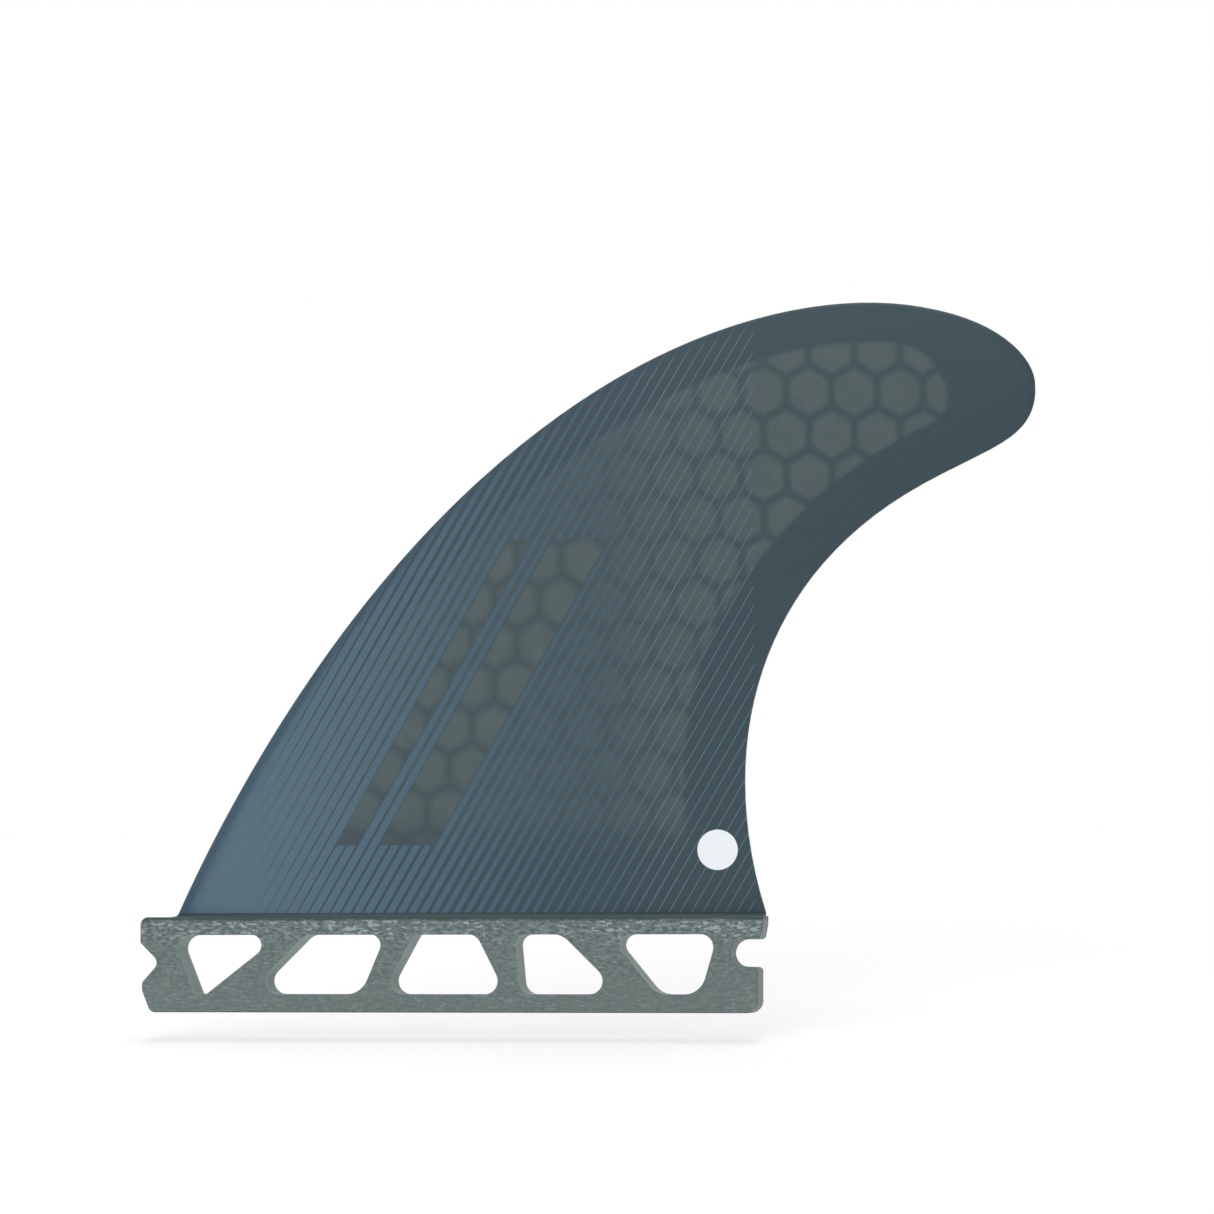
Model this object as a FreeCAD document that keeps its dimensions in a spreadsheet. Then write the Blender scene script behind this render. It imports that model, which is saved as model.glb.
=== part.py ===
import FreeCAD, Part
import math
import os
import re

import Sketcher

# Surfboard fin for a single-tab fin box, in millimetres.
# +X runs from the leading edge to the trailing edge, +Z from the tab to the tip, and Y is the thickness.
# The origin is the centre of the tab's bottom face.

SIZES = {
    # Tab: the flat block that sits in the fin box
    "tab_length": 114.3,
    "tab_thickness": 7.0,
    "tab_depth": 17.2,
    "tab_edge_chamfer": 0.25,
    # Front end of the tab: a V notch for the box's grub screw just above mid height, over a cut-back lower corner
    "notch_depth": 3.6,
    "notch_offset": 0.4,
    "notch_half_height": 3.6,
    "toe_setback": 0.35,
    "toe_land": 1.4,
    "toe_slant": 1.6,
    # Rear end of the tab: a slot for the box's cross pin, between an upper lip and a shorter lower lobe
    "pin_slot_radius": 2.45,
    "pin_slot_drop": 6.55,
    "pin_slot_depth": 5.85,
    "heel_setback": 0.95,
    "lip_setback": 0.5,
    "lip_rise": 2.8,
    "end_corner_small": 0.8,
    "end_corner": 1.4,
    "end_corner_large": 2.2,
    # Lightening windows between a bottom rail and a top rail, placed along a tab of the layout length
    "window_floor_rail": 3.3,
    "window_roof_rail": 3.2,
    "window_layout_length": 114.3,
    "front_window_roof_lead": -51.2,
    "front_window_roof_trail": -30.8,
    "front_window_floor_trail": -44.6,
    "front_window_floor_lead": -46.9,
    "second_window_roof_lead": -26.3,
    "second_window_roof_trail": -11.4,
    "second_window_floor_trail": -15.9,
    "second_window_floor_lead": -37.2,
    "middle_window_roof_lead": -6.3,
    "middle_window_roof_trail": 5.2,
    "middle_window_floor_trail": 10.7,
    "middle_window_floor_lead": -12.2,
    "fourth_window_roof_lead": 12.2,
    "fourth_window_roof_trail": 20.8,
    "fourth_window_floor_trail": 31.7,
    "fourth_window_floor_lead": 13.2,
    "rear_window_roof_lead": 29.2,
    "rear_window_roof_trail": 49.0,
    "rear_window_floor_trail": 45.9,
    "rear_window_floor_lead": 38.0,
    "window_corner_tight": 0.6,
    "window_corner_snug": 1.9,
    "window_corner": 2.4,
    "window_corner_wide": 4.0,
    # Blade outline: two smooth curves from the root to the tip, each led by five guide points
    # Heights are above the root
    "lead_root_inset": 6.25,
    "lead_low_x": -13.0,
    "lead_low_height": 81.4,
    "lead_high_x": 47.0,
    "lead_high_height": 130.9,
    "trail_low_x": 40.5,
    "trail_low_height": 53.3,
    "trail_high_x": 78.8,
    "trail_high_height": 86.4,
    "tip_x": 105.8,
    "tip_height": 93.1,
    "tip_rise": 17.7,
    "tip_drop": 18.6,
    # Foil section, the same on both faces
    "root_thickness": 6.0,
    "trail_edge_thickness": 0.8,
    "crest_position": 0.38,
    "thinning_power": 0.8,
    # Moulded shoulder round the foot of the blade
    "shoulder_rise": 0.7,
    "shoulder_reach": 1.9,
    "shoulder_lip": 0.2,
    # Core: a mat of hexagonal cells that stand on a thin web, inside the blade
    "core_thickness": 1.5,
    "core_web_thickness": 0.3,
    "core_lead_inset": 7.6,
    "core_trail_inset": 8.0,
    "core_tip_bulge": 3.6,
    "cell_pitch": 8.17,
    "cell_row_pitch": 7.63,
    "cell_row_drop": 0.19,
    "cell_channel": 1.3,
    "first_cell_x": -48.97,
    "first_cell_height": 3.98,
    "cell_columns": 13,
    "cell_rows": 14,
}

SHEET = "Sizes"

# Which corner of which window has which radius
WINDOWS = ("front", "second", "middle", "fourth", "rear")
WINDOW_OUTLINE = ("floor_lead", "floor_trail", "roof_trail", "roof_lead")
WINDOW_CORNERS = {
    "window_corner_tight": (
        ("front", "floor_trail"),
        ("front", "floor_lead"),
        ("middle", "roof_lead"),
    ),
    "window_corner_snug": (
        ("front", "roof_trail"),
        ("second", "roof_trail"),
        ("fourth", "roof_lead"),
        ("rear", "roof_lead"),
    ),
    "window_corner": (
        ("front", "roof_lead"),
        ("second", "roof_lead"),
        ("second", "floor_lead"),
        ("middle", "roof_trail"),
        ("middle", "floor_trail"),
        ("middle", "floor_lead"),
        ("fourth", "floor_trail"),
        ("fourth", "floor_lead"),
        ("rear", "roof_trail"),
    ),
    "window_corner_wide": (
        ("second", "floor_trail"),
        ("fourth", "roof_trail"),
        ("rear", "floor_trail"),
        ("rear", "floor_lead"),
    ),
}

# Corners of the tab seen from its side, each a pair of formulas
FRONT_END = "-tab_length / 2"
REAR_END = "tab_length / 2"
NOTCH_LEVEL = "tab_depth / 2 + notch_offset"
TOE_LOW = (f"{FRONT_END} + toe_setback + toe_slant", "0")
TOE_HIGH = (f"{FRONT_END} + toe_setback", f"{NOTCH_LEVEL} - notch_half_height - toe_land")
NOTCH_LOW = (f"{FRONT_END} + toe_setback", f"{NOTCH_LEVEL} - notch_half_height")
NOTCH_APEX = (f"{FRONT_END} + notch_depth", NOTCH_LEVEL)
NOTCH_HIGH = (FRONT_END, f"{NOTCH_LEVEL} + notch_half_height")
FRONT_TOP = (FRONT_END, "tab_depth")
REAR_TOP = (REAR_END, "tab_depth")
SLOT_LEVEL = "tab_depth - pin_slot_drop"
SLOT_TOP = f"{SLOT_LEVEL} + pin_slot_radius"
SLOT_BOTTOM = f"{SLOT_LEVEL} - pin_slot_radius"
SLOT_CENTRE = (f"{REAR_END} - pin_slot_depth + pin_slot_radius", SLOT_LEVEL)
SLOT_MOUTH = f"{REAR_END} + pin_slot_radius"
LIP_HIGH = (REAR_END, f"{SLOT_TOP} + lip_rise")
LIP_LOW = (f"{REAR_END} - lip_setback", SLOT_TOP)
HEEL_HIGH = (f"{REAR_END} - heel_setback", SLOT_BOTTOM)
HEEL_LOW = (f"{REAR_END} - heel_setback", "0")

# Guide points of the blade's two edges
ROOT_LEVEL = "tab_depth + shoulder_rise"
LEAD_EDGE = (
    (f"{FRONT_END} + lead_root_inset", ROOT_LEVEL),
    ("lead_low_x", f"{ROOT_LEVEL} + lead_low_height"),
    ("lead_high_x", f"{ROOT_LEVEL} + lead_high_height"),
    ("tip_x", f"{ROOT_LEVEL} + tip_height + tip_rise"),
    ("tip_x", f"{ROOT_LEVEL} + tip_height"),
)
TRAIL_EDGE = (
    (REAR_END, ROOT_LEVEL),
    ("trail_low_x", f"{ROOT_LEVEL} + trail_low_height"),
    ("trail_high_x", f"{ROOT_LEVEL} + trail_high_height"),
    ("tip_x", f"{ROOT_LEVEL} + tip_height - tip_drop"),
    ("tip_x", f"{ROOT_LEVEL} + tip_height"),
)

# Centre of the first cell of the core
FIRST_CELL = ("first_cell_x", f"{ROOT_LEVEL} + first_cell_height")

# Stations of the foil sections, from 0 at the root to 1 at the tip
STATIONS = (0.0, 0.1, 0.2, 0.3, 0.4, 0.5, 0.6, 0.7, 0.8, 0.88, 0.94, 0.985)

# Stations between which the core runs along each edge
CORE_LEAD_STATIONS = (0.02, 0.12, 0.24, 0.36, 0.48, 0.60, 0.70)
CORE_TRAIL_STATIONS = (0.70, 0.60, 0.48, 0.36, 0.24, 0.12, 0.03)

# Share of the shoulder's rise at which its rounded side is drawn
SHOULDER_LEVELS = (0.0, 0.2, 0.5)

TINY = 1e-4


def make_sheet(doc):
    sheet = doc.addObject("Spreadsheet::Sheet", SHEET)
    for row, (alias, value) in enumerate(SIZES.items(), start=1):
        sheet.set(f"A{row}", alias)
        sheet.set(f"B{row}", str(value))
        sheet.setAlias(f"B{row}", alias)
    doc.recompute()
    return sheet


def cells(formula):
    """Writes each size in a formula as a reference to its cell."""
    def reference(match):
        word = match.group()
        return f"{SHEET}.{word}" if word in SIZES else word
    return re.sub(r"[a-z]\w*", reference, formula)


def value_of(doc, formula):
    return float(doc.getObject(SHEET).evalExpression(cells(formula)))


def origin_plane(body, role):
    return next(feature for feature in body.Origin.OriginFeatures if feature.Role == role)


def new_body(doc, name):
    body = doc.addObject("PartDesign::Body", name)
    body.Label = name
    return body


def new_sketch(body, name, role):
    sketch = body.newObject("Sketcher::SketchObject", name)
    sketch.AttachmentSupport = (origin_plane(body, role), [""])
    sketch.MapMode = "FlatFace"
    return sketch


def drive(sketch, constraint, label, formula):
    """Adds a constraint whose size comes from a formula."""
    sketch.renameConstraint(sketch.addConstraint(constraint), label)
    sketch.setExpression(f"Constraints.{label}", cells(formula))


def lock_point(sketch, geometry, position, label, across, along):
    """Ties one point of a sketch to two formulas, one for each sketch axis."""
    doc = sketch.Document
    for kind, formula in (("DistanceX", across), ("DistanceY", along)):
        size = value_of(doc, formula)
        constraint = Sketcher.Constraint(kind, -1, 1, geometry, position, size)
        drive(sketch, constraint, f"{label}_{kind[-1].lower()}", formula)


def add_polygon(sketch, label, corners):
    """Draws a closed polygon whose corners are pairs of formulas."""
    doc = sketch.Document
    points = [FreeCAD.Vector(value_of(doc, x), value_of(doc, z), 0) for x, z in corners]
    first = sketch.GeometryCount
    for start, end in zip(points, points[1:] + points[:1]):
        sketch.addGeometry(Part.LineSegment(start, end), False)
    for index, (across, along) in enumerate(corners):
        following = first + (index + 1) % len(corners)
        sketch.addConstraint(Sketcher.Constraint("Coincident", first + index, 2, following, 1))
        lock_point(sketch, first + index, 1, f"{label}_{index}", across, along)


def extrude(body, kind, name, sketch, thickness):
    """Pads or pockets a sketch equally to both sides of its plane."""
    feature = body.newObject(f"PartDesign::{kind}", name)
    feature.Profile = sketch
    feature.SideType = "Symmetric"
    feature.setExpression("Length", cells(thickness))
    body.Document.recompute()
    return feature


def cut_through(body, name, sketch):
    feature = body.newObject("PartDesign::Pocket", name)
    feature.Profile = sketch
    feature.SideType = "Symmetric"
    feature.Type = "ThroughAll"
    body.Document.recompute()


def cross_edges(shape, x, z):
    """Names of the straight edges that cross the thickness at one place of the side view."""
    names = []
    for index, edge in enumerate(shape.Edges, start=1):
        if all(math.hypot(vertex.X - x, vertex.Z - z) < TINY for vertex in edge.Vertexes):
            names.append(f"Edge{index}")
    return names


def finish_edges(body, kind, name, edges, measure, formula):
    """Fillets or chamfers some edges of the body, with the measure that such a feature has."""
    base = body.Tip
    feature = body.newObject(f"PartDesign::{kind}", name)
    feature.Base = (base, edges)
    feature.setExpression(measure, cells(formula))
    body.Document.recompute()


def round_corners(body, name, corners, radius):
    """Rounds the edges that cross the thickness at the given corners."""
    doc = body.Document
    edges = []
    for x, z in corners:
        edges += cross_edges(body.Tip.Shape, value_of(doc, x), value_of(doc, z))
    finish_edges(body, "Fillet", name, edges, "Radius", radius)


def curve_formula(guides, axis, station):
    """Formula of one coordinate of an edge curve, in its Bernstein form."""
    degree = len(guides) - 1
    terms = []
    for index, guide in enumerate(guides):
        weight = math.comb(degree, index) * station**index * (1 - station) ** (degree - index)
        terms.append(f"{weight:.9f} * ({guide[axis]})")
    return " + ".join(terms)


def edge_point(doc, guides, station):
    x, z = (value_of(doc, curve_formula(guides, axis, station)) for axis in (0, 1))
    return FreeCAD.Vector(x, z, 0)


def add_foil(body, name, station, growth=0.0, drop=0.0):
    """Sketches a foil section whose first axis lies along the chord at one station of the blade.

    growth is the share of the shoulder's reach and lip that the section adds round the blade.
    drop is the share of the shoulder's rise by which the section lies lower.
    """
    doc = body.Document
    sketch = new_sketch(body, name, "XY_Plane")
    lead_x, lead_z = (curve_formula(LEAD_EDGE, axis, station) for axis in (0, 1))
    trail_x, trail_z = (curve_formula(TRAIL_EDGE, axis, station) for axis in (0, 1))
    reach = f"{growth} * shoulder_reach"
    lip = f"{growth} * shoulder_lip"
    slimness = "(Chord / (tab_length - lead_root_inset)) ^ thinning_power"
    crest = f"trail_edge_thickness + (root_thickness - trail_edge_thickness) * {slimness}"
    properties = {
        "LeadX": f"{lead_x} - {reach}",
        "LeadZ": f"{lead_z} - {drop} * shoulder_rise",
        "RunX": f"{trail_x} - ({lead_x}) + {reach}",
        "RunZ": f"{trail_z} - ({lead_z})",
        "Chord": "sqrt(RunX ^ 2 + RunZ ^ 2)",
        "Crest": "Chord * crest_position",
        "HalfCrest": f"({crest}) / 2 + {lip}",
        "HalfEdge": f"trail_edge_thickness / 2 + {lip}",
    }
    for property_name in properties:
        sketch.addProperty("App::PropertyFloat", property_name, "Foil")
    for property_name, formula in properties.items():
        sketch.setExpression(property_name, cells(formula))
    doc.recompute()
    turn = math.degrees(math.atan2(-sketch.RunZ, sketch.RunX))
    turned = FreeCAD.Rotation(FreeCAD.Vector(0, 1, 0), turn)
    sketch.AttachmentOffset = FreeCAD.Placement(FreeCAD.Vector(sketch.LeadX, 0, sketch.LeadZ), turned)
    sketch.setExpression(".AttachmentOffset.Base.x", "LeadX")
    sketch.setExpression(".AttachmentOffset.Base.z", "LeadZ")
    if station > 0:
        sketch.setExpression(".AttachmentOffset.Rotation.Angle", "atan2(-RunZ; RunX)")
    draw_foil(sketch)
    return sketch


def draw_foil(sketch):
    """Draws a quarter ellipse on each side of the nose, an arc down each tail, and a blunt trailing edge."""
    chord, crest, half_crest, half_edge = sketch.Chord, sketch.Crest, sketch.HalfCrest, sketch.HalfEdge
    nose = FreeCAD.Vector(0, 0, 0)
    centre = FreeCAD.Vector(crest, 0, 0)
    ellipse = Part.Ellipse(nose, FreeCAD.Vector(crest, half_crest, 0), centre)
    tail = chord - crest
    drop = half_crest - half_edge
    radius = (tail**2 + drop**2) / (2 * drop)
    half_way = radius - math.sqrt(radius**2 - (tail / 2) ** 2)
    outline = [
        Part.ArcOfEllipse(ellipse, -math.pi / 2, 0),
        Part.ArcOfEllipse(ellipse, 0, math.pi / 2),
        tail_arc(crest, chord, -half_crest, -half_edge, -half_crest + half_way),
        Part.LineSegment(FreeCAD.Vector(chord, -half_edge, 0), FreeCAD.Vector(chord, half_edge, 0)),
        tail_arc(crest, chord, half_crest, half_edge, half_crest - half_way),
    ]
    for curve in outline:
        sketch.addGeometry(curve, False)


def tail_arc(crest, chord, start, end, middle):
    return Part.Arc(
        FreeCAD.Vector(crest, start, 0),
        FreeCAD.Vector((crest + chord) / 2, middle, 0),
        FreeCAD.Vector(chord, end, 0),
    )


def build_tab(body):
    """The block of the tab, with a notch in its front end and a slot for a cross pin in its rear end."""
    outline = new_sketch(body, "tab_outline", "XZ_Plane")
    front = (FRONT_TOP, NOTCH_HIGH, NOTCH_APEX, NOTCH_LOW, TOE_HIGH, TOE_LOW)
    rear = (HEEL_LOW, HEEL_HIGH, LIP_LOW, LIP_HIGH, REAR_TOP)
    add_polygon(outline, "corner", front + rear)
    extrude(body, "Pad", "tab", outline, "tab_thickness")

    slot = new_sketch(body, "pin_slot_outline", "XZ_Plane")
    add_slot(slot)
    cut_through(body, "pin_slot", slot)

    round_corners(body, "small_end_corners", (LIP_LOW, HEEL_HIGH, NOTCH_HIGH), "end_corner_small")
    round_corners(body, "end_corners", (TOE_LOW, NOTCH_LOW, NOTCH_APEX, FRONT_TOP), "end_corner")
    round_corners(body, "large_end_corners", (HEEL_LOW, TOE_HIGH, LIP_HIGH), "end_corner_large")


def add_slot(sketch):
    """Draws the pin slot: round at its inner end and open at the rear end of the tab."""
    doc = sketch.Document
    centre = FreeCAD.Vector(*(value_of(doc, formula) for formula in SLOT_CENTRE), 0)
    radius = value_of(doc, "pin_slot_radius")
    mouth, bottom, top = (value_of(doc, formula) for formula in (SLOT_MOUTH, SLOT_BOTTOM, SLOT_TOP))
    circle = Part.Circle(centre, FreeCAD.Vector(0, 0, 1), radius)
    corners = (
        FreeCAD.Vector(centre.x, bottom, 0),
        FreeCAD.Vector(mouth, bottom, 0),
        FreeCAD.Vector(mouth, top, 0),
        FreeCAD.Vector(centre.x, top, 0),
    )
    arc = sketch.addGeometry(Part.ArcOfCircle(circle, math.pi / 2, 3 * math.pi / 2), False)
    floor, opening, roof = (
        sketch.addGeometry(Part.LineSegment(start, end), False)
        for start, end in zip(corners, corners[1:])
    )
    sketch.addConstraint(Sketcher.Constraint("Tangent", arc, 2, floor, 1))
    sketch.addConstraint(Sketcher.Constraint("Tangent", roof, 2, arc, 1))
    sketch.addConstraint(Sketcher.Constraint("Coincident", floor, 2, opening, 1))
    sketch.addConstraint(Sketcher.Constraint("Coincident", opening, 2, roof, 1))
    drive(sketch, Sketcher.Constraint("Radius", arc, radius), "round_end", "pin_slot_radius")
    lock_point(sketch, arc, 3, "centre", *SLOT_CENTRE)
    lock_point(sketch, opening, 1, "mouth_bottom", SLOT_MOUTH, SLOT_BOTTOM)
    lock_point(sketch, opening, 2, "mouth_top", SLOT_MOUTH, SLOT_TOP)


def window_corner(window, corner):
    """Formulas of a window's corner, which keeps its share of the tab's length."""
    level = "tab_depth - window_roof_rail" if corner.startswith("roof") else "window_floor_rail"
    return (f"{window}_window_{corner} * tab_length / window_layout_length", level)


def cut_windows(body):
    """Five lightening windows with leaning sides and rounded corners, cut right through the tab."""
    outline = new_sketch(body, "window_outlines", "XZ_Plane")
    for window in WINDOWS:
        add_polygon(outline, window, [window_corner(window, corner) for corner in WINDOW_OUTLINE])
    cut_through(body, "windows", outline)
    for radius, places in WINDOW_CORNERS.items():
        corners = [window_corner(window, corner) for window, corner in places]
        round_corners(body, f"{radius}s", corners, radius)


def chamfer_long_edges(body):
    """Breaks the edges all round both sides of the tab: they run on from its top and its bottom."""
    shape = body.Tip.Shape
    half_thickness = value_of(body.Document, "tab_thickness / 2")
    levels = [value_of(body.Document, formula) for formula in ("0", "tab_depth")]
    edges = []
    for index, edge in enumerate(shape.Edges, start=1):
        box = edge.BoundBox
        flat = box.ZLength < TINY and any(abs(box.ZMin - level) < TINY for level in levels)
        outer = box.YLength < TINY and abs(abs(box.YMin) - half_thickness) < TINY
        if flat and outer:
            edges.append(f"Edge{index}")
    finish_edges(body, "Chamfer", "long_edges", edges, "Size", "tab_edge_chamfer")


def build_shoulder(body, root):
    """A concave shoulder that spreads from the foot of the blade onto the top of the tab."""
    sections = []
    for index, level in enumerate(SHOULDER_LEVELS):
        spread = 1 - math.sqrt(1 - (1 - level) ** 2)
        sections.append(add_foil(body, f"shoulder_{index}", 0, spread, 1 - level))
    loft(body, "shoulder", sections + [root], ruled=True)


def loft(body, name, sections, ruled=False):
    feature = body.newObject("PartDesign::AdditiveLoft", name)
    feature.Profile = sections[0]
    feature.Sections = [(section, [""]) for section in sections[1:]]
    feature.Ruled = ruled
    body.Document.recompute()


def core_edge(doc, stations, share, inset):
    """Points that lie a given inset along the chord from one edge of the blade.

    share is 0 for the leading edge and 1 for the trailing edge.
    """
    points = []
    for station in stations:
        lead = edge_point(doc, LEAD_EDGE, station)
        trail = edge_point(doc, TRAIL_EDGE, station)
        chord = trail - lead
        step = chord * (value_of(doc, inset) / chord.Length)
        points.append(trail - step if share else lead + step)
    return points


def draw_core_outline(sketch):
    """The core follows both edges of the blade and ends in a round nose short of the tip."""
    doc = sketch.Document
    lead_side = core_edge(doc, CORE_LEAD_STATIONS, 0, "core_lead_inset")
    trail_side = core_edge(doc, CORE_TRAIL_STATIONS, 1, "core_trail_inset")
    across = trail_side[0] - lead_side[-1]
    outward = FreeCAD.Vector(-across.y, across.x, 0).normalize()
    nose = (lead_side[-1] + trail_side[0]) / 2 + outward * value_of(doc, "core_tip_bulge")
    for side in (lead_side, trail_side):
        curve = Part.BSplineCurve()
        curve.interpolate(side)
        sketch.addGeometry(curve, False)
    sketch.addGeometry(Part.Arc(lead_side[-1], nose, trail_side[0]), False)
    sketch.addGeometry(Part.LineSegment(trail_side[-1], lead_side[0]), False)


def cut_core_pocket(body):
    """The closed hollow on the blade's middle plane that the core fills."""
    outline = new_sketch(body, "core_pocket_outline", "XZ_Plane")
    draw_core_outline(outline)
    extrude(body, "Pocket", "core_pocket", outline, "core_thickness")


def build_fin(doc):
    """The moulded laminate: tab, shoulder and blade in one piece."""
    body = new_body(doc, "fin")
    build_tab(body)
    cut_windows(body)
    chamfer_long_edges(body)
    sections =[add_foil(body, f"foil_{index}", station) for index, station in enumerate(STATIONS)]
    build_shoulder(body, sections[0])
    loft(body, "blade", sections)
    cut_core_pocket(body)
    return body


def build_core(doc):
    """A flat mat of hexagonal cells that stand on a thin web, cut to its outline."""
    body = new_body(doc, "honeycomb_core")
    first_x, first_z = FIRST_CELL
    front, rear = f"{first_x} - cell_pitch", f"{first_x} + (cell_columns + cell_rows / 2) * cell_pitch"
    low, high = (
        f"{first_z} - cell_row_pitch - cell_columns * cell_row_drop",
        f"{first_z} + cell_rows * cell_row_pitch",
    )
    blank_corners = ((front, low), (rear, low), (rear, high), (front, high))
    blank = new_sketch(body, "mat_blank", "XZ_Plane")
    blank.setExpression(".AttachmentOffset.Base.z", cells("(core_thickness - core_web_thickness) / 2"))
    add_polygon(blank, "corner", blank_corners)
    extrude(body, "Pad", "web", blank, "core_web_thickness")

    cell = new_sketch(body, "cell_outline", "XZ_Plane")
    draw_cell(cell)
    pad = extrude(body, "Pad", "cell", cell, "core_thickness")
    repeat_cell(body, cell, pad)

    trim = new_sketch(body, "trim_outline", "XZ_Plane")
    add_polygon(trim, "corner", blank_corners)
    draw_core_outline(trim)
    cut_through(body, "trimmed_edge", trim)
    return body


def draw_cell(sketch):
    """A hexagon with upright sides, and two guide lines along the rows and up the slanted columns."""
    half_width = "(cell_pitch - cell_channel) / 2"
    shrink = "(cell_pitch - cell_channel) / cell_pitch"
    peak = f"(cell_row_pitch ^ 2 + cell_pitch ^ 2 / 4) / (2 * cell_row_pitch) * {shrink}"
    side = f"(cell_row_pitch ^ 2 - cell_pitch ^ 2 / 4) / (2 * cell_row_pitch) * {shrink}"
    centre_x, centre_z = FIRST_CELL
    corners = (
        (centre_x, f"{centre_z} + {peak}"),
        (f"{centre_x} - {half_width}", f"{centre_z} + {side}"),
        (f"{centre_x} - {half_width}", f"{centre_z} - {side}"),
        (centre_x, f"{centre_z} - {peak}"),
        (f"{centre_x} + {half_width}", f"{centre_z} - {side}"),
        (f"{centre_x} + {half_width}", f"{centre_z} + {side}"),
    )
    add_polygon(sketch, "corner", corners)
    guides = (
        ("along_row", f"{centre_x} + cell_pitch", f"{centre_z} - cell_row_drop"),
        ("up_column", f"{centre_x} + cell_pitch / 2", f"{centre_z} + cell_row_pitch - cell_row_drop / 2"),
    )
    doc = sketch.Document
    centre = FreeCAD.Vector(value_of(doc, centre_x), value_of(doc, centre_z), 0)
    for label, end_x, end_z in guides:
        end = FreeCAD.Vector(value_of(doc, end_x), value_of(doc, end_z), 0)
        guide = sketch.addGeometry(Part.LineSegment(centre, end), True)
        lock_point(sketch, guide, 1, f"{label}_start", centre_x, centre_z)
        lock_point(sketch, guide, 2, f"{label}_end", end_x, end_z)


def repeat_cell(body, sketch, pad):
    """Repeats the cell along the rows and up the slanted columns."""
    pattern = body.newObject("PartDesign::LinearPattern", "cells")
    pattern.Originals = [pad]
    pattern.Direction = (sketch, ["Axis0"])
    pattern.Mode = "Spacing"
    pattern.setExpression("Offset", cells("sqrt(cell_pitch ^ 2 + cell_row_drop ^ 2)"))
    pattern.setExpression("Occurrences", cells("cell_columns"))
    pattern.Direction2 = (sketch, ["Axis1"])
    pattern.Mode2 = "Spacing"
    column_step = "sqrt((cell_pitch / 2) ^ 2 + (cell_row_pitch - cell_row_drop / 2) ^ 2)"
    pattern.setExpression("Offset2", cells(column_step))
    pattern.setExpression("Occurrences2", cells("cell_rows"))
    body.Tip = pattern
    body.Document.recompute()


def check(doc, bodies):
    """Stops if any object of the document failed or any solid is not sound."""
    for item in doc.Objects:
        if "Invalid" in item.State or "Error" in item.State:
            raise RuntimeError(f"{item.Name} failed: {item.getStatusString()}")
    for body in bodies:
        shape = body.Shape
        if shape.isNull() or not shape.isValid() or len(shape.Solids) != 1:
            raise RuntimeError(f"{body.Label} is not one sound solid")


def main():
    doc = FreeCAD.newDocument("surfboard_fin")
    make_sheet(doc)
    bodies = [build_fin(doc), build_core(doc)]
    doc.recompute()
    check(doc, bodies)
    os.makedirs("parts", exist_ok=True)
    for body in bodies:
        body.Shape.exportStep(os.path.join("parts", f"{body.Label}.step"))


main()
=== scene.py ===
"""Looks, light and camera for a single-tab surfboard fin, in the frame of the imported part.

Places and widths on the fin are in millimetres. Lamps, floor and clip distances are in metres.
"""

import math
from functools import reduce

import bpy
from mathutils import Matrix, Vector

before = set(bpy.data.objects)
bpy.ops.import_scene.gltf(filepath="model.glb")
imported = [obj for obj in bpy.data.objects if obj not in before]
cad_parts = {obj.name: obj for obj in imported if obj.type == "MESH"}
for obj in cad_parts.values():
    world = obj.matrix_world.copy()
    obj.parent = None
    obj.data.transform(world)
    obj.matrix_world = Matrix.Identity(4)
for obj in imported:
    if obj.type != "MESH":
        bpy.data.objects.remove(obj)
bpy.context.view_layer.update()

MM = 0.001

# Camera: the photograph's viewing angle, with its place and aim in millimetres
CAMERA_PLACE = (169.607, -784.690, 7.029)
CAMERA_AIM = (28.419, 0.0, 72.807)
CAMERA_LENS = 131.7
SENSOR_WIDTH = 36.0
CLIP_START = 0.05
CLIP_END = 20.0

# Light: strength of the backdrop as seen and as light, and place, size and watts of each lamp
BACKDROP_STRENGTH = 1.0
WORLD_LIGHT = 0.42
LAMP_AIM = (0.02, 0.0, 0.06)
LAMPS = {
    "front_softbox": ((-0.3, -1.3, 0.7), (1.2, 1.0), 10.0),
    "top_softbox": ((0.05, 0.0, 1.2), (0.9, 0.6), 8.0),
}
PURE_WHITE = (1.0, 1.0, 1.0, 1.0)

# Floor: rises a little to the rear, and shows only part of its shading
FLOOR_LEVEL = -0.005
FLOOR_SIZE = 0.7
FLOOR_TILT = 8.0
FLOOR_WHITE = 0.98
FLOOR_SHADOW_SHARE = 0.33

# Widths over which edges blend: the ends of print and walls, levels, and the fin's middle plane
END_BLUR = 0.5
LEVEL_BLUR = 0.1
MIDDLE_BLUR = 0.1

# How squarely a face looks sideways, 0 to 1: on window walls, which get partly painted light,
# and where the blade turns to its edge, which gets painted shade
WALL_FLATNESS = (0.3, 0.6)
SHADED_EDGE_FLATNESS = (0.955, 0.99)

# Levels of the tab: the print, a dark line under it, a smooth band with a wavy foot, and flecks
PRINT_LEVEL = 17.9
PRINT_LEVEL_BLUR = 0.08
PRINT_LINE_WIDTH = 0.3
SMOOTH_BAND_LEVEL = 16.6
BAND_WAVE_HEIGHT = 0.8
BAND_BLUR = (-0.4, 0.3)
FLECK_LEVELS = (11.0, 15.0)
FLECK_LOW_SHARE = 0.25
WEAVE_LEVELS = (3.0, 8.0)
WEAVE_LOW_SHARE = 0.2
WEAVE_RISE = 0.4
STREAK_LOW_SHARE = 0.45
STREAK_CONTRAST = 0.35
PATCH_LOW_SHARE = 0.4

# Walls of the windows: distance from the tab's middle where they end, and levels where they start
WINDOWS_END = 51.0
WALL_FOOT_LEVELS = (1.0, 2.0)

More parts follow.
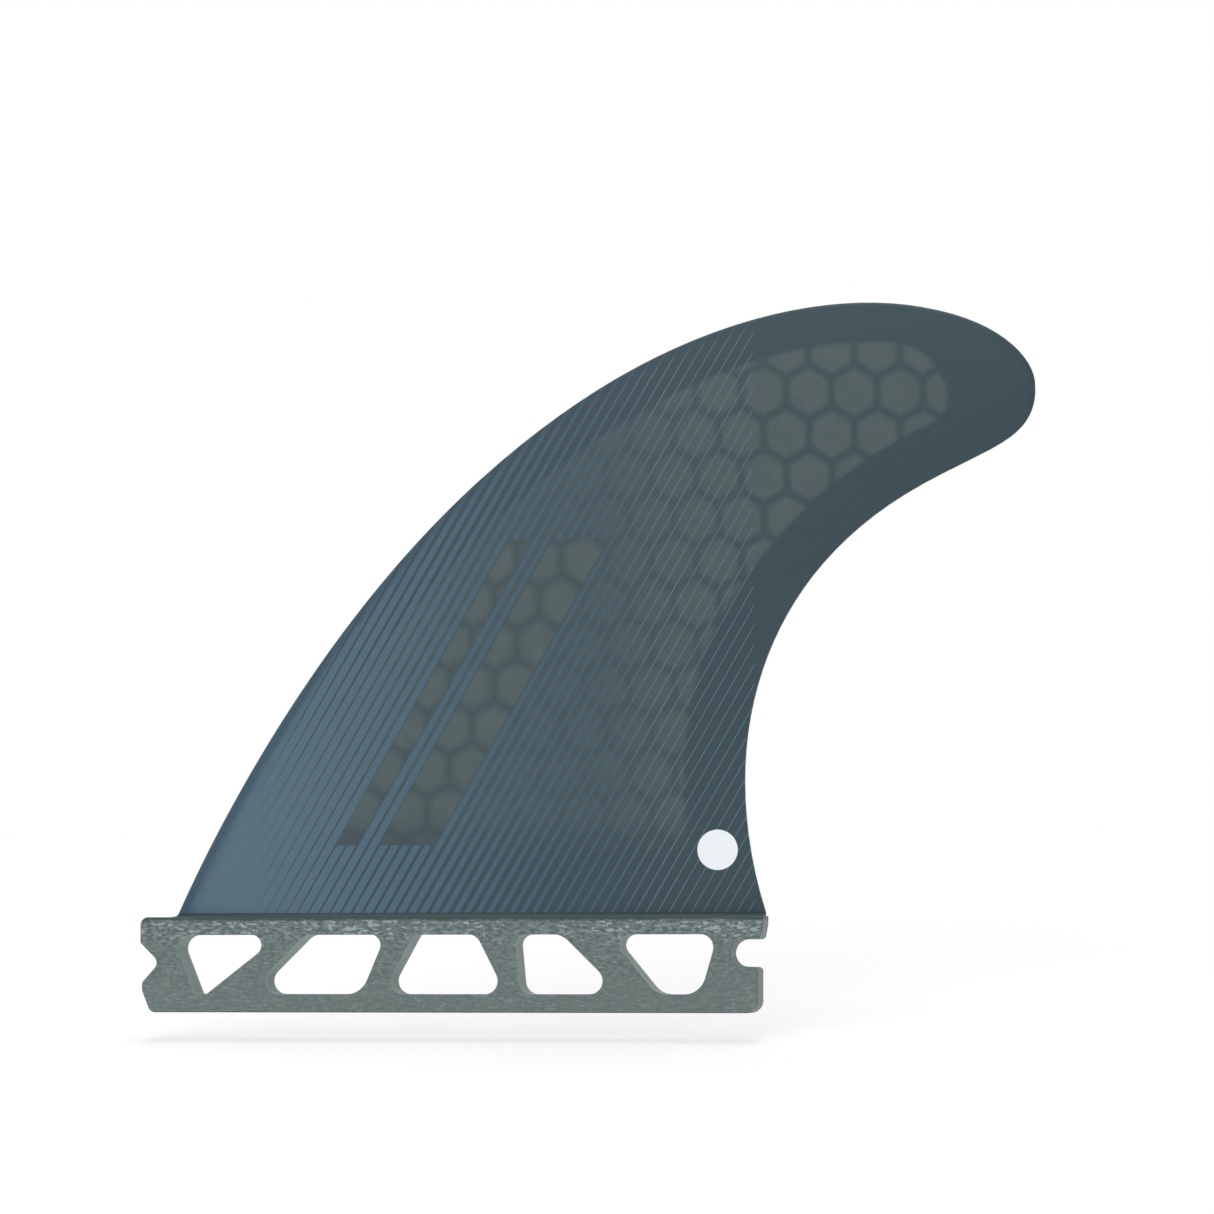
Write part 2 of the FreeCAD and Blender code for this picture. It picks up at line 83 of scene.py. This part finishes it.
# Stripes of the print: straight, parallel, and thinner towards the rear
STRIPE_PITCH = 2.0264
STRIPE_SLOPE = math.tan(math.radians(30))
STRIPE_START = -0.83
SOLID_PRINT_REAR = -38.0
STRIPE_THINNING = 0.0113
HAIRLINE_SHARE = 0.075
STRIPE_EDGE = 0.05
PRINT_REAR = 55.0
PRINT_COVER = 0.9

# Places along the fin between which the print turns to its rear blue, and to hairlines
REAR_BLUE_PLACES = (-45.0, 25.0)
HAIRLINE_PLACES = (28.0, 46.0)

# The print veils the cells ahead of the first place, and no longer behind the second
PRINT_VEIL_PLACES = (20.0, 60.0)
VEILED_CELL_CONTRAST = 0.3
VEILED_CELL_MEAN = 0.2

# Clear bars where the print leaves out whole stripes: first and last stripe, by their count
CLEAR_BARS = ((-18, -17), (-14, -10))
CLEAR_BAR_LEVELS = (30.0, 85.0)
CLEAR_BAR_EDGE = 0.02

# A plain white dot near the foot of the trailing edge
DOT_PLACE = (48.6, 29.0)
DOT_RADIUS = 3.6
DOT_EDGE = 0.05

# Lattice of the core's cells, with the centre of one of them
CELL_CENTRE = (65.41, 110.78)
CELL_PITCH = 8.17
CELL_ROW_PITCH = 7.635
CELL_ROW_DROP = 0.19 / CELL_PITCH

# Cells as they show: share of the way to the next cell, roundness, and softness with an extra
# share that is lost between two places
CELL_SHARE = 0.84
CELL_CORNER = 0.4
CELL_SOFTNESS = 0.14
CELL_EXTRA_SOFTNESS = 0.12
CELL_SOFT_PLACES = (20.0, 60.0)
CELL_MOTTLE_LOW_SHARE = 0.75

# Outline of the core as it shows, and the levels between which it fades in above the root
CORE_LIMIT_COUNT = 48
CORE_EDGE_SOFTNESS = 1.6
CORE_EDGE_CORNER = 4.0
CORE_FADE_LEVELS = (26.0, 38.0)

# Strip along the core's rear edge that the laminate hides, and the levels where it narrows away
CORE_REAR_INSET = 2.2
CORE_REAR_LEVELS = (60.0, 95.0)

# Noise: blobs to the millimetre, stretch along the fin, detail, and the levels that give 0 and 1
STREAKS = {"scale": 2.6, "stretch": 7.0, "detail": 2.0, "limits": (0.35, 0.65)}
WEAVE = {"scale": 2.0, "stretch": 2.0, "detail": 2.0, "limits": (0.36, 0.62)}
FLECKS = {"scale": 2.4, "stretch": 2.6, "detail": 1.5, "limits": (0.54, 0.66)}
PATCHES = {"scale": 0.2, "stretch": 1.6, "limits": (0.35, 0.6)}
BAND_WAVE = {"scale": 0.8, "stretch": 2.0}
CELL_MOTTLE = {"scale": 0.35, "limits": (0.3, 0.7)}
CORE_MOTTLE = {"scale": 0.8, "limits": (0.3, 0.7)}
RELIEF = {"scale": 6.0, "detail": 2.0}
RELIEF_HEIGHT = 0.008

# Sheen of the laminate, which is sanded matt, and of the core
LAMINATE_ROUGHNESS = 0.45
LAMINATE_SPECULAR = 0.15
CORE_ROUGHNESS = 0.6

# Colours as they look in plain light, 0 to 255
LAMINATE = (56, 72, 79)
CELL = (78, 91, 92)
CHANNEL = (60, 76, 81)
PRINT_FRONT_BLUE = (84, 107, 122)
PRINT_REAR_BLUE = (62, 90, 106)
HAIRLINE_BLUE = (92, 118, 130)
# Painted shade: a darker print blue where the blade turns to its edge
SHADED_EDGE_BLUE = (60, 84, 99)
TAB_DARK = (81, 95, 95)
TAB_GREY = (112, 123, 121)
TAB_FLECK = (152, 160, 163)
SMOOTH_BAND = (58, 73, 75)
PRINT_LINE = (40, 52, 56)
# Partly painted light: the window walls' greener grey is also made paler, standing in for light
LIT_WALL_GREY = (138, 155, 152)
DOT_WHITE = (232, 238, 241)


def linear(colour):
    """An sRGB colour of 0 to 255 steps as scene-linear red, green, blue and alpha."""
    shares = [step / 255 for step in colour]
    values = [s / 12.92 if s <= 0.04045 else ((s + 0.055) / 1.055) ** 2.4 for s in shares]
    return (*values, 1.0)


class Field:
    """A number that varies over a surface, held by the socket of a shader node."""

    def __init__(self, tree, socket):
        self.tree = tree
        self.socket = socket

    def feed(self, operand, socket):
        """Links a field to a socket, or sets a plain number on it."""
        if isinstance(operand, Field):
            self.tree.links.new(operand.socket, socket)
        else:
            socket.default_value = operand

    def math(self, operation, *others):
        node = self.tree.nodes.new("ShaderNodeMath")
        node.operation = operation
        for place, operand in enumerate((self, *others)):
            self.feed(operand, node.inputs[place])
        return Field(self.tree, node.outputs[0])

    def __add__(self, other):
        return self.math("ADD", other)

    def __sub__(self, other):
        return self.math("SUBTRACT", other)

    def __mul__(self, other):
        return self.math("MULTIPLY", other)

    def __truediv__(self, other):
        return self.math("DIVIDE", other)

    def __neg__(self):
        return self * -1.0

    def inverse(self):
        """One minus the number."""
        return -self + 1.0

    def squeezed(self, low):
        """The number moved from the range of 0 to 1 into that of low to 1."""
        return self * (1 - low) + low

    def abs(self):
        return self.math("ABSOLUTE")

    def round_down(self, step):
        """The nearest multiple of the step that isn't above the number."""
        return self.math("SNAP", step)

    def max(self, other):
        return self.math("MAXIMUM", other)

    def min(self, other):
        return self.math("MINIMUM", other)

    def step(self, low, high):
        """0 below the low limit, 1 above the high limit, and smooth between them."""
        node = self.tree.nodes.new("ShaderNodeMapRange")
        node.interpolation_type = "SMOOTHSTEP"
        for name, operand in (("Value", self), ("From Min", low), ("From Max", high)):
            self.feed(operand, node.inputs[name])
        return Field(self.tree, node.outputs["Result"])

    def past(self, place, blur):
        """0 before a place and 1 past it, blended over the blur on both sides of it."""
        return self.step(place - blur, place + blur)


class Surface:
    """A material under construction, with its shader and its place on the object in millimetres."""

    def __init__(self, name):
        self.material = bpy.data.materials.new(name)
        self.material.use_nodes = True
        self.tree = self.material.node_tree
        self.shader = self.tree.nodes["Principled BSDF"]
        coordinates = self.new("ShaderNodeTexCoord")
        scaled = self.new("ShaderNodeVectorMath")
        scaled.operation = "SCALE"
        scaled.inputs["Scale"].default_value = 1 / MM
        self.tree.links.new(coordinates.outputs["Object"], scaled.inputs[0])
        self.place = scaled.outputs[0]
        self.x, self.y, self.z = self.parts(self.place)
        self.flatness = self.parts(coordinates.outputs["Normal"])[1].abs()

    def new(self, kind):
        return self.tree.nodes.new(kind)

    def parts(self, vector):
        """The three parts of a vector as fields."""
        node = self.new("ShaderNodeSeparateXYZ")
        self.tree.links.new(vector, node.inputs[0])
        return [Field(self.tree, socket) for socket in node.outputs]

    def noise(self, scale, stretch=1.0, detail=3.0, limits=None):
        """Noise of a given number of blobs to the millimetre, drawn out along the fin by stretch.

        Where limits are given, they are the levels of the noise that become 0 and 1.
        """
        mapping = self.new("ShaderNodeMapping")
        mapping.inputs["Scale"].default_value = (scale / stretch, scale, scale)
        self.tree.links.new(self.place, mapping.inputs["Vector"])
        node = self.new("ShaderNodeTexNoise")
        node.inputs["Scale"].default_value = 1.0
        node.inputs["Detail"].default_value = detail
        self.tree.links.new(mapping.outputs[0], node.inputs["Vector"])
        noise = Field(self.tree, node.outputs[0])
        return noise.step(*limits) if limits else noise

    def mix(self, share, first, second):
        """Colour that goes from the first to the second as the share goes from 0 to 1."""
        node = self.new("ShaderNodeMix")
        node.data_type = "RGBA"
        self.tree.links.new(share.socket, node.inputs["Factor"])
        for name, value in (("A", first), ("B", second)):
            socket = next(s for s in node.inputs if s.name == name and s.type == "RGBA")
            if isinstance(value, tuple):
                socket.default_value = linear(value)
            else:
                self.tree.links.new(value, socket)
        return next(s for s in node.outputs if s.type == "RGBA")

    def curve(self, across, points):
        """A number read from a smooth curve through points of (place, value)."""
        low = min(value for _, value in points)
        high = max(value for _, value in points)
        start = points[0][0]
        end = points[-1][0]
        node = self.new("ShaderNodeFloatCurve")
        node.mapping.extend = "HORIZONTAL"
        curve = node.mapping.curves[0]
        for _ in points[len(curve.points):]:
            curve.points.new(0.5, 0.5)
        for point, (place, value) in zip(curve.points, points):
            point.location = ((place - start) / (end - start), (value - low) / (high - low))
            point.handle_type = "AUTO"
        node.mapping.update()
        share = (across - start) / (end - start)
        self.tree.links.new(share.socket, node.inputs["Value"])
        return Field(self.tree, node.outputs[0]) * (high - low) + low

    def bump(self, height, distance):
        """Relief of the given height field, at most the given distance in millimetres."""
        node = self.new("ShaderNodeBump")
        node.inputs["Distance"].default_value = distance * MM
        self.tree.links.new(height.socket, node.inputs["Height"])
        self.tree.links.new(node.outputs[0], self.shader.inputs["Normal"])


def core_limits(along, across):
    """Lowest and highest place of the core on one axis, at levels of the other.

    Both are read from the core's solid, as lists of (level, place).
    """
    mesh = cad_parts["honeycomb_core"].data
    places = [(vertex.co[along] / MM, vertex.co[across] / MM) for vertex in mesh.vertices]
    start = min(place[0] for place in places)
    step = (max(place[0] for place in places) - start) / CORE_LIMIT_COUNT
    low, high = [], []
    for index in range(CORE_LIMIT_COUNT):
        level = start + step * (index + 0.5)
        found = []
        for edge in mesh.edges:
            (near, near_value), (far, far_value) = (places[vertex] for vertex in edge.vertices)
            if (near < level) != (far < level):
                share = (level - near) / (far - near)
                found.append(near_value + (far_value - near_value) * share)
        low.append((level, min(found)))
        high.append((level, max(found)))
    return low, high


def inside_core(surface):
    """1 inside the core's outline, 0 outside it, and soft along its edge."""
    front, rear = core_limits(2, 0)
    bottom, top = core_limits(0, 2)
    inner = surface.x - surface.curve(surface.z, front)
    hidden_strip = surface.z.step(*CORE_REAR_LEVELS).inverse() * CORE_REAR_INSET
    for side in (
        surface.curve(surface.z, rear) - surface.x - hidden_strip,
        surface.curve(surface.x, top) - surface.z,
        surface.z - surface.curve(surface.x, bottom),
    ):
        inner = inner.math("SMOOTH_MIN", side, CORE_EDGE_CORNER)
    return inner.step(0.0, CORE_EDGE_SOFTNESS)


def cell_share(surface):
    """How far a place lies from a cell's centre: 0 there and 1 half-way to the next cell."""
    across = surface.x - CELL_CENTRE[0]
    along = surface.z - CELL_CENTRE[1] + across * CELL_ROW_DROP
    half_pitch = CELL_PITCH / 2
    slant = (half_pitch**2 + CELL_ROW_PITCH**2) / 2
    shares = []
    for shift_x, shift_z in ((0, 0), (half_pitch, CELL_ROW_PITCH)):
        x = across + shift_x
        z = along + shift_z
        off_x = (x - (x + half_pitch).round_down(CELL_PITCH)).abs()
        off_z = (z - (z + CELL_ROW_PITCH).round_down(2 * CELL_ROW_PITCH)).abs()
        upright = off_x / half_pitch
        slanted = off_x * (half_pitch / slant) + off_z * (CELL_ROW_PITCH / slant)
        shares.append(upright.math("SMOOTH_MAX", slanted, CELL_CORNER))
    return shares[0].min(shares[1])


def cells_seen(surface):
    """1 on a cell and 0 between cells, softer to the front and veiled by the print."""
    extra = surface.x.step(*CELL_SOFT_PLACES).inverse() * CELL_EXTRA_SOFTNESS
    blur = extra + CELL_SOFTNESS
    cell = (cell_share(surface) - CELL_SHARE).step(-blur, blur).inverse()
    open_print = clear_bars(surface).max(surface.x.step(*PRINT_VEIL_PLACES))
    contrast = open_print.squeezed(VEILED_CELL_CONTRAST)
    return cell * contrast + contrast.inverse() * VEILED_CELL_MEAN


def stripe_axis(surface):
    """Place along the root at which the stripe through a point starts, counted in stripes."""
    return (surface.x - surface.z * STRIPE_SLOPE - STRIPE_START) / STRIPE_PITCH


def stripes(surface):
    """1 on a printed stripe and 0 between the stripes."""
    axis = stripe_axis(surface)
    nearest = (axis + 0.5).math("FLOOR")
    off_centre = (axis - nearest).abs() * 2.0
    thinned = (surface.x - SOLID_PRINT_REAR) * -STRIPE_THINNING + 1.0
    width = thinned.max(HAIRLINE_SHARE)
    return (off_centre - width).past(0.0, STRIPE_EDGE).inverse()


def clear_bars(surface):
    """1 on the slanted bars that the print leaves open."""
    axis = stripe_axis(surface)
    low, high = CLEAR_BAR_LEVELS
    above_foot = surface.z.step(low, low + LEVEL_BLUR)
    above_top = surface.z.step(high, high + LEVEL_BLUR)
    bars = []
    for first, last in CLEAR_BARS:
        past_front = axis.past(first - 0.5, CLEAR_BAR_EDGE)
        past_rear = axis.past(last + 0.5, CLEAR_BAR_EDGE)
        bars.append(past_front * past_rear.inverse())
    return reduce(Field.max, bars) * above_foot * above_top.inverse()


def dot(surface):
    """1 on the white dot, which only one side of the fin has."""
    across = surface.x - DOT_PLACE[0]
    along = surface.z - DOT_PLACE[1]
    reach = (across * across + along * along).math("SQRT")
    near_side = surface.y.past(0.0, MIDDLE_BLUR).inverse()
    return near_side * reach.past(DOT_RADIUS, DOT_EDGE).inverse()


def print_colour(surface):
    """Blue of the print: paler in front, fine pale blue in the hairlines, painted shade at the
    edges.
    """
    blue = surface.mix(surface.x.step(*REAR_BLUE_PLACES), PRINT_FRONT_BLUE, PRINT_REAR_BLUE)
    blue = surface.mix(surface.x.step(*HAIRLINE_PLACES), blue, HAIRLINE_BLUE)
    # Painted shade: the print darkens where the blade's face turns sideways to its edge
    edge = surface.flatness.step(*SHADED_EDGE_FLATNESS).inverse()
    return surface.mix(edge, blue, SHADED_EDGE_BLUE)


def blade_colour(surface):
    """Dark laminate with the core's cells showing through it, under the striped print."""
    seen = inside_core(surface) * surface.z.step(*CORE_FADE_LEVELS)
    mottle = surface.noise(**CELL_MOTTLE).squeezed(CELL_MOTTLE_LOW_SHARE)
    colour = surface.mix(seen, LAMINATE, CHANNEL)
    colour = surface.mix(seen * cells_seen(surface) * mottle, colour, CELL)
    ahead_of_rear = surface.x.step(PRINT_REAR, PRINT_REAR + END_BLUR).inverse()
    printed = stripes(surface) * clear_bars(surface).inverse() * ahead_of_rear
    colour = surface.mix(printed * PRINT_COVER, colour, print_colour(surface))
    return surface.mix(dot(surface), colour, DOT_WHITE)


def fibre_colour(surface):
    """Grey-green laminate with chopped fibres along the tab, and pale flecks in its upper part."""
    height = surface.z.step(*FLECK_LEVELS)
    streak = surface.noise(**STREAKS) * STREAK_CONTRAST + STREAK_LOW_SHARE
    weave_strength = (surface.z.step(*WEAVE_LEVELS) + height) * WEAVE_RISE + WEAVE_LOW_SHARE
    weave = surface.mix(surface.noise(**WEAVE), TAB_DARK, TAB_GREY)
    colour = surface.mix(streak, TAB_DARK, TAB_GREY)
    colour = surface.mix(weave_strength, colour, weave)
    patch = surface.noise(**PATCHES).squeezed(PATCH_LOW_SHARE)
    fleck = surface.noise(**FLECKS) * patch * height.squeezed(FLECK_LOW_SHARE)
    return surface.mix(fleck, colour, TAB_FLECK)


def window_wall(surface):
    """1 on the walls inside the windows, and 0 on the tab's sides, ends and floor."""
    band_foot = SMOOTH_BAND_LEVEL
    turned_away = surface.flatness.step(*WALL_FLATNESS).inverse()
    past_windows = surface.x.abs().step(WINDOWS_END, WINDOWS_END + END_BLUR)
    above_floor = surface.z.step(*WALL_FOOT_LEVELS)
    above_windows = surface.z.step(band_foot, band_foot + LEVEL_BLUR)
    return turned_away * past_windows.inverse() * above_floor * above_windows.inverse()


def tab_colour(surface):
    """Fibre laminate, smooth band and dark line on top, window walls paler as partly painted light.
    """
    wave = surface.noise(**BAND_WAVE) * BAND_WAVE_HEIGHT - BAND_WAVE_HEIGHT / 2
    band = (surface.z - SMOOTH_BAND_LEVEL - wave).step(*BAND_BLUR)
    colour = surface.mix(band, fibre_colour(surface), SMOOTH_BAND)
    line = surface.z.step(PRINT_LEVEL - PRINT_LINE_WIDTH, PRINT_LEVEL)
    colour = surface.mix(line, colour, PRINT_LINE)
    # Painted light: the window walls are painted paler, on top of their greener grey
    return surface.mix(window_wall(surface), colour, LIT_WALL_GREY)


def fin_material():
    surface = Surface("fin_laminate")
    on_blade = surface.z.past(PRINT_LEVEL, PRINT_LEVEL_BLUR)
    colour = surface.mix(on_blade, tab_colour(surface), blade_colour(surface))
    surface.tree.links.new(colour, surface.shader.inputs["Base Color"])
    surface.shader.inputs["Roughness"].default_value = LAMINATE_ROUGHNESS
    surface.shader.inputs["Specular IOR Level"].default_value = LAMINATE_SPECULAR
    surface.bump(surface.noise(**RELIEF), RELIEF_HEIGHT)
    return surface.material


def core_material():
    surface = Surface("core_resin")
    colour = surface.mix(surface.noise(**CORE_MOTTLE), CHANNEL, CELL)
    surface.tree.links.new(colour, surface.shader.inputs["Base Color"])
    surface.shader.inputs["Roughness"].default_value = CORE_ROUGHNESS
    return surface.material


def dress(node, material):
    """Gives a piece of the frame its material."""
    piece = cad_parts[node]
    piece.data.materials.clear()
    piece.data.materials.append(material)


def place_and_aim(thing, place, aim):
    """Links a lamp or camera to the scene at a place, looking at its aim."""
    thing.location = place
    thing.rotation_mode = "QUATERNION"
    thing.rotation_quaternion = (Vector(aim) - Vector(place)).to_track_quat("-Z", "Y")
    bpy.context.scene.collection.objects.link(thing)


def make_lamps():
    for name, (place, size, power) in LAMPS.items():
        data = bpy.data.lights.new(name, "AREA")
        data.shape = "RECTANGLE"
        data.size, data.size_y = size
        data.energy = power
        place_and_aim(bpy.data.objects.new(name, data), place, LAMP_AIM)


def background(tree, seen, light):
    """One shader output for the camera, gloss and glass to see, and another to light things."""
    path = tree.nodes.new("ShaderNodeLightPath")
    share = Field(tree, path.outputs["Is Camera Ray"])
    for ray in ("Is Glossy Ray", "Is Transmission Ray"):
        share = share.max(Field(tree, path.outputs[ray]))
    mix = tree.nodes.new("ShaderNodeMixShader")
    tree.links.new(share.socket, mix.inputs[0])
    tree.links.new(light, mix.inputs[1])
    tree.links.new(seen, mix.inputs[2])
    return mix.outputs[0]


def make_world():
    """White behind the fin, and a softer white that lights it."""
    world = bpy.data.worlds.new("studio")
    bpy.context.scene.world = world
    world.use_nodes = True
    tree = world.node_tree
    tree.nodes.clear()
    shades = []
    for strength in (BACKDROP_STRENGTH, WORLD_LIGHT):
        shade = tree.nodes.new("ShaderNodeBackground")
        shade.inputs["Color"].default_value = PURE_WHITE
        shade.inputs["Strength"].default_value = strength
        shades.append(shade.outputs[0])
    output = tree.nodes.new("ShaderNodeOutputWorld")
    tree.links.new(background(tree, *shades), output.inputs[0])


def make_floor():
    """A white floor just under the fin, bright enough that only the shadow shows on it."""
    bpy.ops.mesh.primitive_plane_add(size=FLOOR_SIZE)
    floor = bpy.context.object
    floor.name = "floor"
    floor.location = (0.0, 0.0, FLOOR_LEVEL)
    floor.rotation_euler = (math.radians(FLOOR_TILT), 0.0, 0.0)
    material = bpy.data.materials.new("floor_white")
    material.use_nodes = True
    tree = material.node_tree
    tree.nodes.clear()
    paint = tree.nodes.new("ShaderNodeBsdfDiffuse")
    paint.inputs["Color"].default_value = (FLOOR_WHITE, FLOOR_WHITE, FLOOR_WHITE, 1)
    glow = tree.nodes.new("ShaderNodeEmission")
    glow.inputs["Color"].default_value = PURE_WHITE
    shown = tree.nodes.new("ShaderNodeMixShader")
    shown.inputs[0].default_value = FLOOR_SHADOW_SHARE
    tree.links.new(glow.outputs[0], shown.inputs[1])
    tree.links.new(paint.outputs[0], shown.inputs[2])
    output = tree.nodes.new("ShaderNodeOutputMaterial")
    tree.links.new(background(tree, shown.outputs[0], paint.outputs[0]), output.inputs[0])
    floor.data.materials.append(material)


def make_camera():
    data = bpy.data.cameras.new("camera")
    data.lens = CAMERA_LENS
    data.sensor_width = SENSOR_WIDTH
    data.clip_start = CLIP_START
    data.clip_end = CLIP_END
    camera = bpy.data.objects.new("camera", data)
    place_and_aim(camera, Vector(CAMERA_PLACE) * MM, Vector(CAMERA_AIM) * MM)
    bpy.context.scene.camera = camera


def main():
    dress("fin", fin_material())
    dress("honeycomb_core", core_material())
    make_world()
    make_floor()
    make_lamps()
    make_camera()
    bpy.context.scene.view_settings.view_transform = "Standard"


main()
